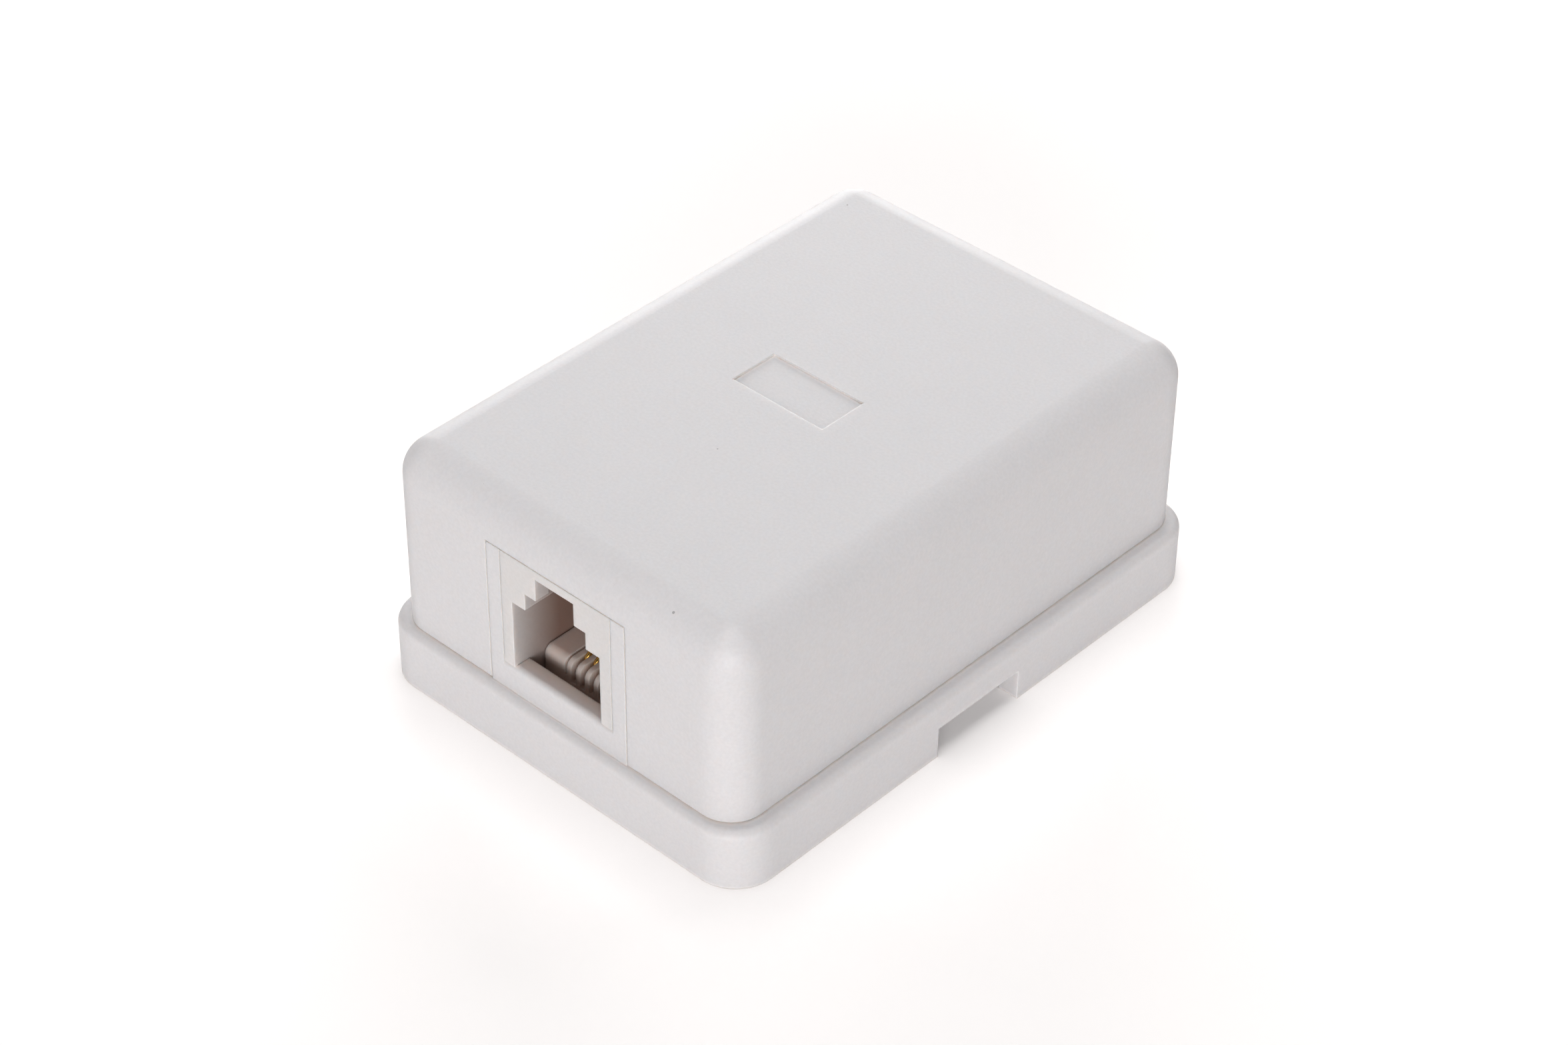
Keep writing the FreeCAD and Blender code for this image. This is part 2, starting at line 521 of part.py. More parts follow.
def make_lead(x, side, y):
    """Insulated lead from the back of the socket into its lug's barrel."""
    along = lug_direction(side)
    mouth = V(side * TERMINAL_X, y, BARREL_Z) + along * LUG_REACH
    end = mouth - along * LEAD_IN_BARREL
    start = V(x, JACK_BACK_Y, WIRE_RUN_Z)
    if y == TERMINAL_FRONT_Y:
        points = [start, start + V(0, 2.2, 0), mouth + along * 2.4, end]
        radius = 1.2
    else:
        lane = side * (TERMINAL_X - LANE_FROM_TERMINAL)
        reach = (abs(mouth.x) - abs(lane)) / abs(along.x)
        turn_in = mouth + along * reach
        points = [start, start + V(0, 3.6, 0), V(lane, JACK_BACK_Y + 7.6, WIRE_RUN_Z + 0.6),
                  turn_in, end]
        radius = 2.2
    return bar(rounded_path(points, radius), start, points[1] - start, LEAD_D)


def main():
    os.makedirs("parts", exist_ok=True)
    nodes = {
        "base": make_base(),
        "cover": make_cover(),
        "jack_housing": make_jack_housing(),
        "contact_carrier": make_contact_carrier(),
    }
    for number, (x, (side, y)) in enumerate(zip(CONTACT_XS, TERMINALS), start=1):
        nodes["contact_wire_%d" % number] = make_contact_wire(x)
        nodes[LEAD_NAMES[number - 1]] = make_lead(x, side, y)
        nodes["spade_lug_%d" % number] = make_spade_lug(side, y)
        nodes["terminal_washer_%d" % number] = make_washer(side, y)
        nodes["terminal_screw_%d" % number] = make_screw(side, y)
    for name, shape in nodes.items():
        shape.exportStep("parts/%s.step" % name)
        print(name, len(shape.Solids), shape.isValid(), round(shape.Volume, 3))


main()
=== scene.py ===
"""Finishes and stage for a surface mount jack box, laid out as an add-on and run as a script."""
import math

import bmesh
import bpy
from mathutils import Matrix, Vector


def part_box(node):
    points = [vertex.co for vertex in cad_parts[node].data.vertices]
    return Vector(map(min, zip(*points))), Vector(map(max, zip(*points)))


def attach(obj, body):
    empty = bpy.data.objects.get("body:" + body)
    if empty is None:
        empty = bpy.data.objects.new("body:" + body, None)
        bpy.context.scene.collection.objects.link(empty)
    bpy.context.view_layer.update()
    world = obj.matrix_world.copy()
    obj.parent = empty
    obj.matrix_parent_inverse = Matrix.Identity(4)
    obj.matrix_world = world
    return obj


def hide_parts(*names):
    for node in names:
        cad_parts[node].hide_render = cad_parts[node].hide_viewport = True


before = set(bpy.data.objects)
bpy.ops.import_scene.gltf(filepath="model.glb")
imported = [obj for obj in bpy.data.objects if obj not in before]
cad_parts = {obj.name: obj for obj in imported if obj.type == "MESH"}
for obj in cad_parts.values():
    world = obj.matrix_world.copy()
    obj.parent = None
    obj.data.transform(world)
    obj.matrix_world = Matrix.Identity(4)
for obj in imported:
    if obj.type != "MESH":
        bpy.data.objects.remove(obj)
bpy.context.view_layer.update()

bl_info = {
    "name": "Jack box finishes",
    "version": (1, 0, 0),
    "blender": (4, 5, 0),
    "location": "3D View > Sidebar > Jack box",
    "description": "Moulded plastic, contacts, leads and terminals of a surface mount jack box",
    "category": "Object",
}

MM = 0.001
NUMBERS = range(1, 5)
LEAD_COLOURS = {"lead_black": "#1B1B1C", "lead_red": "#A81E1C", "lead_green": "#1D6B3A",
                "lead_yellow": "#D8B52A"}
CONTACT_NAMES = ["contact_wire_%d" % i for i in NUMBERS]
LUG_NAMES = ["spade_lug_%d" % i for i in NUMBERS]
WASHER_NAMES = ["terminal_washer_%d" % i for i in NUMBERS]
SCREW_NAMES = ["terminal_screw_%d" % i for i in NUMBERS]

# painted light and shade in the plug's opening, warmer than the plastic: lighter on the sill and
# the carrier, darker on the socket; colour, and how far in it is full
SILL_PAINTED_LIGHT = ("#F6E6DC", 1.7 * MM)
SOCKET_PAINTED_SHADE = ("#A38B81", 5 * MM)
CARRIER_PAINTED_LIGHT = ("#EFE1DA", 4 * MM)
# painted light in creases, where shade falls: a lighter, warmer white; colour, and the width of a
# crease
CREASE_PAINTED_LIGHT, CREASE_WIDTH = "#FFF8F3", 0.35 * MM

# stamped fork lug, cut from one sheet with its barrel
FORK_HALF_WIDTH, FORK_SHEET, FORK_SLOT_RADIUS = 3.1 * MM, 0.7 * MM, 1.75 * MM
NECK_HALF_WIDTH, BARREL_LENGTH, BARREL_WALL = 1.2 * MM, 3.6 * MM, 0.45 * MM

# leads: straight out of the socket, then into a near lug, or up and along a lane to a far one
NEAR_OUT, NEAR_INTO_LUG, NEAR_BEND = 2.2 * MM, 2.4 * MM, 1.2 * MM
FAR_OUT, FAR_LANE, FAR_ALONG, FAR_LIFT, FAR_BEND = (
    3.6 * MM, 6.1 * MM, 7.6 * MM, 0.6 * MM, 2.2 * MM)
LEAD_IN_BARREL = 3 * MM
STRAND_COUNT, STRAND_RADIUS, STRAND_RING = 7, 0.09 * MM, 0.19 * MM
STRAND_START, STRAND_LENGTH, STRAND_STEP = 0.2 * MM, 1.0 * MM, 0.12 * MM

# screw head and thread: each row is a result, an operation and two terms, which are inputs of
# the tree, numbers or earlier results
CUTTER_PROUD, CUTTER_STAGGER = 0.05 * MM, 0.03 * MM
SCREW_SUMS = [
    ("half slot", "DIVIDE", "Slot depth", 2.0),
    ("slot middle", "SUBTRACT", "Head height", "half slot"),
    ("cutter middle", "ADD", "slot middle", CUTTER_PROUD),
    ("second middle", "ADD", "cutter middle", CUTTER_STAGGER),
    ("cutter height", "ADD", "Slot depth", 2 * CUTTER_PROUD),
    ("thread depth", "MULTIPLY", "Pitch", 0.5),
    ("core radius", "SUBTRACT", "Shank radius", "thread depth"),
    ("core middle", "DIVIDE", "Shank length", -2.0),
    ("thread length", "SUBTRACT", "Shank length", "Pitch"),
    ("turns", "DIVIDE", "thread length", "Pitch"),
    ("crest", "MULTIPLY", "Pitch", 0.52),
    ("tooth width", "MULTIPLY", "Pitch", 0.86),
    ("half pitch", "DIVIDE", "Pitch", 2.0),
    ("thread start", "SUBTRACT", "half pitch", "Shank length"),
]
# share of the head's radius from its seat (0) to its top (1): full, then rounded off
HEAD_ROUNDING = [("SUBTRACT", 0.35), ("DIVIDE", 0.65), ("MAXIMUM", 0.0), ("POWER", 2.6),
                 ("MULTIPLY", -0.62), ("ADD", 1.0), ("POWER", 0.6)]
HEAD_FOOT = [("MULTIPLY", 1.2), ("ADD", 0.94), ("MINIMUM", 1.0)]

# soft boxes: name, azimuth from the front and elevation in degrees, watts
LAMPS = [("overhead_box", 0, 90, 3.45), ("near_low_box", 38, 12, 4.1),
         ("back_left_low_box", -135, 12, 3.6), ("left_box", -90, 38, 0.5),
         ("front_low_box", 0, 12, 0.3), ("back_box", 180, 38, 0.9)]
LAMP_DISTANCE, LAMP_SIZE, LAMP_AIM_HEIGHT = 0.8, 0.45, 12 * MM
SHEET_SIZE, SHEET_DROP = 4.0, 0.02 * MM


# ---- settings shown in the sidebar ---------------------------------------------------
class JackBoxPlastic(bpy.types.PropertyGroup):
    """Colours and surface of the moulded pieces"""
    case_hex: bpy.props.StringProperty(
        name="Case colour", description="White of the base and cover, sRGB hex",
        default="#DFDDDE")
    socket_hex: bpy.props.StringProperty(
        name="Socket colour", description="Warmer white of the socket, sRGB hex",
        default="#DEDBDA")
    roughness: bpy.props.FloatProperty(
        name="Roughness", description="Roughness of the moulded faces", default=0.48,
        min=0.05, max=1.0, subtype="FACTOR")
    grain: bpy.props.FloatProperty(
        name="Grain size", description="Spacing of the mould's fine texture", default=0.00028,
        min=0.00005, max=0.002, unit="LENGTH")
    mouth: bpy.props.FloatProperty(
        name="Mouth half width", description="Half of the plug opening's width, with a margin",
        default=0.0051, min=0.001, max=0.01, unit="LENGTH")
    sill: bpy.props.FloatProperty(
        name="Sill height", description="Top of the wall under the plug opening",
        default=0.00855, min=0.001, max=0.02, unit="LENGTH")
    speck_spacing: bpy.props.FloatProperty(
        name="Speck spacing", description="Typical distance between moulded-in specks",
        default=0.0052, min=0.001, max=0.05, unit="LENGTH")


class JackBoxContacts(bpy.types.PropertyGroup):
    """Sizes of the contact wires"""
    diameter: bpy.props.FloatProperty(
        name="Wire diameter", description="Diameter of a contact wire", default=0.00046,
        min=0.0002, max=0.001, unit="LENGTH")
    bend: bpy.props.FloatProperty(
        name="Bend radius", description="Bend round the carrier, to the wire's middle",
        default=0.0009, min=0.0005, max=0.002, unit="LENGTH")
    rise: bpy.props.FloatProperty(
        name="Rise", description="Slope of the free arm", default=math.radians(30),
        min=0.1, max=1.0, subtype="ANGLE")
    arm_set_back: bpy.props.FloatProperty(
        name="Arm set-back", description="Free end in front of the wire's back end",
        default=0.0026, min=0.0, unit="LENGTH")


class JackBoxTerminals(bpy.types.PropertyGroup):
    """Sizes of the screws, leads and lugs"""
    pitch: bpy.props.FloatProperty(
        name="Thread pitch", description="Pitch of the terminal screws", default=0.0007,
        min=0.0003, max=0.001, unit="LENGTH")
    lead_diameter: bpy.props.FloatProperty(
        name="Lead diameter", description="Over the insulation", default=0.00094,
        min=0.0005, max=0.002, unit="LENGTH")
    lug_turn: bpy.props.FloatProperty(
        name="Lug turn", description="Lug's heading from the box's width, towards the socket",
        default=math.radians(53), subtype="ANGLE")
    lug_reach: bpy.props.FloatProperty(
        name="Lug reach", description="Screw axis to the barrel's mouth", default=0.0086,
        unit="LENGTH")
    barrel_radius: bpy.props.FloatProperty(
        name="Barrel radius", description="Outside of the lug's rolled barrel", default=0.001,
        unit="LENGTH")


class JackBoxStage(bpy.types.PropertyGroup):
    """Camera and tent"""
    azimuth: bpy.props.FloatProperty(
        name="Azimuth", description="Camera round the box, from the front", subtype="ANGLE",
        default=math.radians(42.788))
    elevation: bpy.props.FloatProperty(
        name="Elevation", description="Camera above the horizon", subtype="ANGLE",
        default=math.radians(38.389))
    roll: bpy.props.FloatProperty(
        name="Roll", description="Tilt of the frame", subtype="ANGLE",
        default=math.radians(0.641))
    aim_height: bpy.props.FloatProperty(
        name="Aim height", description="Height of the point that the camera goes round",
        default=12 * MM, unit="LENGTH")
    slide_left: bpy.props.FloatProperty(
        name="Slide left", description="Camera moved to its left", default=1.0274 * MM,
        unit="LENGTH")
    slide_down: bpy.props.FloatProperty(
        name="Slide down", description="Camera moved downwards in its frame",
        default=1.4232 * MM, unit="LENGTH")
    distance: bpy.props.FloatProperty(
        name="Distance", description="Camera to the middle of the box", default=0.304265,
        unit="LENGTH")
    lens: bpy.props.FloatProperty(
        name="Lens", description="Focal length on a 36 mm sensor", default=84.24, unit="CAMERA")
    sky: bpy.props.FloatProperty(
        name="Tent", description="Brightness of the white tent all round", default=0.12, min=0.0)


# ---- helpers -------------------------------------------------------------------------
def linear(hex_colour):
    """sRGB hex to a linear RGBA tuple."""
    out = []
    for i in (1, 3, 5):
        c = int(hex_colour[i:i + 2], 16) / 255
        out.append(c / 12.92 if c <= 0.04045 else ((c + 0.055) / 1.055) ** 2.4)
    return (*out, 1.0)


def shade(colour, share):
    """A darker tone of a linear colour."""
    return (*(c * share for c in colour[:3]), 1.0)


def add_node(tree, kind, values=None, links=None, **settings):
    """One node with its settings, its socket values and the sockets that feed it."""
    node = tree.nodes.new(kind)
    for key, value in settings.items():
        setattr(node, key, value)
    for key, value in (values or {}).items():
        node.inputs[key].default_value = value
    for key, source in (links or {}).items():
        tree.links.new(source, node.inputs[key])
    return node


def new_material(name):
    """Empty material with a Principled shader wired to its output."""
    material = bpy.data.materials.new(name)
    material.use_nodes = True
    tree = material.node_tree
    tree.nodes.clear()
    shader = add_node(tree, "ShaderNodeBsdfPrincipled")
    add_node(tree, "ShaderNodeOutputMaterial", links={"Surface": shader.outputs["BSDF"]})
    return material, tree, shader


def dress(node_name, material):
    """Give a CAD node its finish."""
    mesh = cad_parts[node_name].data
    if not mesh.materials:
        mesh.materials.append(material)
    for i in range(len(mesh.materials)):
        mesh.materials[i] = material


def group_sockets(tree, sockets):
    """Named inputs and the geometry output of a node group; returns its input sockets."""
    for name, kind, default in sockets:
        socket = tree.interface.new_socket(name, in_out="INPUT", socket_type=kind)
        if default is not None:
            socket.default_value = default
    tree.interface.new_socket("Geometry", in_out="OUTPUT", socket_type="NodeSocketGeometry")
    return add_node(tree, "NodeGroupInput").outputs


def finish_tree(tree, geometry, material):
    """End of every tree: real geometry with its material."""
    real = add_node(tree, "GeometryNodeRealizeInstances", links={"Geometry": geometry})
    coated = add_node(tree, "GeometryNodeSetMaterial",
                      links={"Geometry": real.outputs["Geometry"], "Material": material})
    add_node(tree, "NodeGroupOutput", links={"Geometry": coated.outputs["Geometry"]})


def route_object(routes):
    """Curve object with one straight-sided spline for each route."""
    curve = bpy.data.curves.new("route", "CURVE")
    curve.dimensions = "3D"
    for route in routes:
        spline = curve.splines.new("POLY")
        spline.points.add(len(route) - 1)
        for point, place in zip(spline.points, route):
            point.co = (*place, 1.0)
    return bpy.data.objects.new("route", curve)


def bake_tree(name, source, tree, inputs):
    """Run a node tree on an object and keep the result as a plain mesh piece."""
    if source.name not in bpy.context.collection.objects:
        bpy.context.collection.objects.link(source)
    modifier = source.modifiers.new("nodes", "NODES")
    modifier.node_group = tree
    for item in tree.interface.items_tree:
        if item.in_out == "INPUT" and item.name in inputs:
            modifier[item.identifier] = inputs[item.name]
    evaluated = source.evaluated_get(bpy.context.evaluated_depsgraph_get())
    mesh = bpy.data.meshes.new_from_object(evaluated)
    source.modifiers.remove(modifier)
    bpy.data.objects.remove(source)
    if not mesh.polygons:
        raise RuntimeError(name + " came out empty")
    while mesh.materials[0] is None:   # the slot of parts that came into the tree without one
        mesh.materials.pop(index=0)
    mesh.name = name
    piece = bpy.data.objects.new(name, mesh)
    bpy.context.collection.objects.link(piece)
    return piece


def smooth_by_angle(piece, degrees):
    """Smooth shading, with edges sharper than the angle kept crisp."""
    mesh = piece.data
    mesh.polygons.foreach_set("use_smooth", [True] * len(mesh.polygons))
    mesh.set_sharp_from_angle(angle=math.radians(degrees))


def ride_and_stand_for(piece, body, nodes):
    """Tie a piece to its body and the CAD nodes that it shows."""
    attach(piece, body)
    if nodes:
        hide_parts(*nodes)


# ---- materials -----------------------------------------------------------------------
def mouth_paint_mask(tree, place, reach, look):
    """Mask for the painted light and shade in the plug's opening: 0 on the outside, 1 where the
    opening has gone in by a length.
    """
    skin, below_roof, under_sill = 0.1 * MM, 0.4 * MM, 3 * MM
    low, high = (Vector(c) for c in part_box("jack_housing"))
    axes = add_node(tree, "ShaderNodeSeparateXYZ", links={"Vector": place})
    inward = add_node(tree, "ShaderNodeMapRange",
                      {"From Min": low.y + skin, "From Max": low.y + reach},
                      {"Value": axes.outputs["Y"]})
    outward = add_node(tree, "ShaderNodeMapRange", {"From Min": high.y, "From Max": high.y - MM},
                       {"Value": axes.outputs["Y"]})
    sideways = add_node(tree, "ShaderNodeMath", links={0: axes.outputs["X"]},
                        operation="ABSOLUTE")
    depth = inward.outputs["Result"]
    limits = [outward.outputs["Result"]]
    for coordinate, operation, limit in (
            (sideways.outputs[0], "LESS_THAN", look.mouth),
            (axes.outputs["Z"], "LESS_THAN", high.z - below_roof),
            (axes.outputs["Z"], "GREATER_THAN", look.sill - under_sill)):
        test = add_node(tree, "ShaderNodeMath", {1: limit}, {0: coordinate}, operation=operation)
        limits.append(test.outputs[0])
    for limit in limits:
        depth = add_node(tree, "ShaderNodeMath", links={0: depth, 1: limit},
                         operation="MULTIPLY").outputs[0]
    return depth


def moulded_plastic(name, hex_colour, look, mouth_paint):
    """White ABS, injection moulded: satin and slightly translucent, with soft edges.

    The eye sees faint flow mottle, a fine sparked grain and rare dark specks. The socket's mouth
    gets painted light and shade, warmer than the plastic, and creases get a lighter, warmer colour
    as painted light.
    """
    # flow marks lie about 6 mm apart, patches of sheen 3.5 mm and shallow waves 2.2 mm; a real
    # sparked grain is 0.05 to 0.1 mm and is drawn coarser, at look.grain, so that it shows
    flow, sheen, wave = 6 * MM, 3.5 * MM, 2.2 * MM
    # a speck's radius, about 0.1 mm, is a share of their spacing, and a third of places have one
    speck_radius, speck_share = 0.022, 0.3
    mouth_paint_hex, mouth_paint_full_at = mouth_paint
    material, tree, shader = new_material(name)
    place = add_node(tree, "ShaderNodeTexCoord").outputs["Object"]
    base = linear(hex_colour)
    shader.inputs["IOR"].default_value = 1.53
    shader.inputs["Specular IOR Level"].default_value = 0.4
    shader.inputs["Subsurface Weight"].default_value = 0.85
    shader.inputs["Subsurface Radius"].default_value = (1.0, 0.86, 0.78)
    shader.inputs["Subsurface Scale"].default_value = 0.7 * MM
    mottle = add_node(tree, "ShaderNodeTexNoise", {"Scale": 1 / flow, "Detail": 3.0},
                      {"Vector": place})
    mottled = add_node(tree, "ShaderNodeMix", {"A": shade(base, 0.975), "B": base},
                       {"Factor": mottle.outputs["Fac"]}, data_type="RGBA")
    fine = add_node(tree, "ShaderNodeTexNoise", {"Scale": 1 / look.grain, "Detail": 2.0},
                    {"Vector": place})
    pits = add_node(tree, "ShaderNodeMapRange", {"From Min": 0.3, "From Max": 0.7,
                                                 "To Min": 0.962, "To Max": 1.0},
                    {"Value": fine.outputs["Fac"]})
    grained = add_node(tree, "ShaderNodeVectorMath", operation="SCALE",
                       links={0: mottled.outputs["Result"], "Scale": pits.outputs["Result"]})
    cells = add_node(tree, "ShaderNodeTexVoronoi", {"Scale": 1 / look.speck_spacing},
                     {"Vector": place})
    near = add_node(tree, "ShaderNodeMath", {1: speck_radius},
                    {0: cells.outputs["Distance"]}, operation="LESS_THAN")
    pick = add_node(tree, "ShaderNodeSeparateColor", links={"Color": cells.outputs["Color"]})
    rare = add_node(tree, "ShaderNodeMath", {1: speck_share}, {0: pick.outputs["Red"]},
                    operation="LESS_THAN")
    speck = add_node(tree, "ShaderNodeMath", links={0: near.outputs[0], 1: rare.outputs[0]},
                     operation="MULTIPLY")
    colour = add_node(tree, "ShaderNodeMix", {"B": shade(base, 0.62)},
                      {"Factor": speck.outputs[0], "A": grained.outputs["Vector"]},
                      data_type="RGBA")
    # painted light: creases, where shade falls, are lifted to a lighter, warmer white
    open_sky = add_node(tree, "ShaderNodeAmbientOcclusion", {"Distance": CREASE_WIDTH},
                        samples=4)
    painted_crease_light = add_node(tree, "ShaderNodeMix", {"A": linear(CREASE_PAINTED_LIGHT)},
                           {"Factor": open_sky.outputs["AO"], "B": colour.outputs["Result"]},
                           data_type="RGBA")
    # painted light and shade: the plug opening's colour takes over with depth
    painted_mouth = add_node(tree, "ShaderNodeMix", {"B": linear(mouth_paint_hex)},
                    {"Factor": mouth_paint_mask(tree, place, mouth_paint_full_at, look),
                     "A": painted_crease_light.outputs["Result"]}, data_type="RGBA")
    tree.links.new(painted_mouth.outputs["Result"], shader.inputs["Base Color"])
    patches = add_node(tree, "ShaderNodeTexNoise", {"Scale": 1 / sheen, "Detail": 2.0},
                       {"Vector": place})
    gloss = add_node(tree, "ShaderNodeMapRange", {"To Min": look.roughness - 0.04,
                                                  "To Max": look.roughness + 0.05},
                     {"Value": patches.outputs["Fac"]})
    tree.links.new(gloss.outputs["Result"], shader.inputs["Roughness"])
    waves = add_node(tree, "ShaderNodeTexNoise", {"Scale": 1 / wave, "Detail": 1.0},
                     {"Vector": place})
    edge = add_node(tree, "ShaderNodeBevel", {"Radius": 0.12 * MM}, samples=6)
    low = add_node(tree, "ShaderNodeBump", {"Strength": 0.3, "Distance": 0.02 * MM},
                   {"Height": waves.outputs["Fac"], "Normal": edge.outputs["Normal"]})
    bump = add_node(tree, "ShaderNodeBump", {"Strength": 0.65, "Distance": 0.014 * MM},
                    {"Height": fine.outputs["Fac"], "Normal": low.outputs["Normal"]})
    tree.links.new(bump.outputs["Normal"], shader.inputs["Normal"])
    return material


def gold_plate():
    """Phosphor bronze spring wire, drawn and gold plated: a bright glint, worn in patches."""
    patch = 1.2 * MM   # rubbed places are a millimetre or so long
    material, tree, shader = new_material("gold plated bronze wire")
    place = add_node(tree, "ShaderNodeTexCoord").outputs["Object"]
    shader.inputs["Metallic"].default_value = 1.0
    wear = add_node(tree, "ShaderNodeTexNoise", {"Scale": 1 / patch, "Detail": 3.0},
                    {"Vector": place})
    colour = add_node(tree, "ShaderNodeMix", {"A": linear("#E3B75F"), "B": linear("#F2D08A")},
                      {"Factor": wear.outputs["Fac"]}, data_type="RGBA")
    tree.links.new(colour.outputs["Result"], shader.inputs["Base Color"])
    gloss = add_node(tree, "ShaderNodeMapRange", {"To Min": 0.16, "To Max": 0.3},
                     {"Value": wear.outputs["Fac"]})
    tree.links.new(gloss.outputs["Result"], shader.inputs["Roughness"])
    return material


def dull_metal(name, tones, roughness, cloud):
    """Stamped, turned or drawn metal: cloudy tone between two colours, soft sheen, scratches."""
    # a cloud is a dull patch, from 0.6 mm on a strand to 2 mm on a screw; handling marks are finer
    # than 0.05 mm and are drawn coarser so that they show
    scratch = 0.12 * MM
    material, tree, shader = new_material(name)
    place = add_node(tree, "ShaderNodeTexCoord").outputs["Object"]
    shader.inputs["Metallic"].default_value = 1.0
    clouds = add_node(tree, "ShaderNodeTexNoise", {"Scale": 1 / cloud, "Detail": 4.0},
                      {"Vector": place})
    colour = add_node(tree, "ShaderNodeMix", {"A": linear(tones[0]), "B": linear(tones[1])},
                      {"Factor": clouds.outputs["Fac"]}, data_type="RGBA")
    tree.links.new(colour.outputs["Result"], shader.inputs["Base Color"])
    gloss = add_node(tree, "ShaderNodeMapRange",
                     {"To Min": roughness[0], "To Max": roughness[1]},
                     {"Value": clouds.outputs["Fac"]})
    tree.links.new(gloss.outputs["Result"], shader.inputs["Roughness"])
    fine = add_node(tree, "ShaderNodeTexNoise", {"Scale": 1 / scratch, "Detail": 2.0},
                    {"Vector": place})
    bump = add_node(tree, "ShaderNodeBump", {"Strength": 0.2, "Distance": 0.008 * MM},
                    {"Height": fine.outputs["Fac"]})
    tree.links.new(bump.outputs["Normal"], shader.inputs["Normal"])
    return material


def extruded_pvc(name, hex_colour):
    """Soft PVC insulation, extruded: even colour, low gloss, slight waviness along the lead."""
    blotch, ripple = 4 * MM, 0.6 * MM   # unevenness from the die and from bending by hand
    material, tree, shader = new_material(name)
    place = add_node(tree, "ShaderNodeTexCoord").outputs["Object"]
    base = linear(hex_colour)
    shader.inputs["IOR"].default_value = 1.53
    cloud = add_node(tree, "ShaderNodeTexNoise", {"Scale": 1 / blotch, "Detail": 2.0},
                     {"Vector": place})
    colour = add_node(tree, "ShaderNodeMix", {"A": shade(base, 0.9), "B": base},
                      {"Factor": cloud.outputs["Fac"]}, data_type="RGBA")
    tree.links.new(colour.outputs["Result"], shader.inputs["Base Color"])
    gloss = add_node(tree, "ShaderNodeMapRange", {"To Min": 0.3, "To Max": 0.42},
                     {"Value": cloud.outputs["Fac"]})
    tree.links.new(gloss.outputs["Result"], shader.inputs["Roughness"])
    wavy = add_node(tree, "ShaderNodeTexNoise", {"Scale": 1 / ripple}, {"Vector": place})
    bump = add_node(tree, "ShaderNodeBump", {"Strength": 0.2, "Distance": 0.01 * MM},
                    {"Height": wavy.outputs["Fac"]})
    tree.links.new(bump.outputs["Normal"], shader.inputs["Normal"])
    return material


def table_sheet():
    """Matt white sheet under the box, lit from below as in a light tent."""
    material, tree, shader = new_material("white table sheet")
    shader.inputs["Base Color"].default_value = linear("#F6F3F2")
    shader.inputs["Roughness"].default_value = 0.9
    shader.inputs["Specular IOR Level"].default_value = 0.1
    shader.inputs["Emission Color"].default_value = (1, 1, 1, 1)
    shader.inputs["Emission Strength"].default_value = 0.157
    return material


# ---- operators -----------------------------------------------------------------------
class JACKBOX_OT_case(bpy.types.Operator):
    """Finish the base and the cover as moulded white plastic"""
    bl_idname = "jackbox.case"
    bl_label = "Base and cover"

    def execute(self, context):
        look = context.scene.jackbox_plastic
        # the sill in the plug's opening gets painted light
        white = moulded_plastic("moulded white ABS", look.case_hex, look, SILL_PAINTED_LIGHT)
        for name in ("base", "cover"):
            dress(name, white)
        return {"FINISHED"}


class JACKBOX_OT_socket(bpy.types.Operator):
    """Finish the socket moulding and the contact carrier"""
    bl_idname = "jackbox.socket"
    bl_label = "Socket"

    def execute(self, context):
        look = context.scene.jackbox_plastic
        # the plug's opening gets painted shade on the socket and painted light on the carrier
        for node_name, name, mouth_paint in (
                ("jack_housing", "moulded socket ABS", SOCKET_PAINTED_SHADE),
                ("contact_carrier", "moulded carrier PBT", CARRIER_PAINTED_LIGHT)):
            dress(node_name, moulded_plastic(name, look.socket_hex, look, mouth_paint))
        return {"FINISHED"}


# ---- contact wires -------------------------------------------------------------------
def tube_tree():
    """Nodes for a round bar along a route, its corners rounded to one radius."""
    tree = bpy.data.node_groups.new("bar along route", "GeometryNodeTree")
    sockets = [("Geometry", "NodeSocketGeometry", None), ("Radius", "NodeSocketFloat", 0.0005),
               ("Bend radius", "NodeSocketFloat", 0.001), ("Sides", "NodeSocketInt", 20),
               ("Material", "NodeSocketMaterial", None)]
    given = group_sockets(tree, sockets)
    rounded = add_node(tree, "GeometryNodeFilletCurve", {"Count": 10, "Limit Radius": True},
                       {"Curve": given["Geometry"], "Radius": given["Bend radius"]}, mode="POLY")
    ring = add_node(tree, "GeometryNodeCurvePrimitiveCircle",
                    links={"Resolution": given["Sides"], "Radius": given["Radius"]})
    bar = add_node(tree, "GeometryNodeCurveToMesh", {"Fill Caps": True},
                   {"Curve": rounded.outputs["Curve"], "Profile Curve": ring.outputs["Curve"]})
    smooth = add_node(tree, "GeometryNodeSetShadeSmooth", links={"Geometry": bar.outputs["Mesh"]})
    finish_tree(tree, smooth.outputs["Geometry"], given["Material"])
    return tree


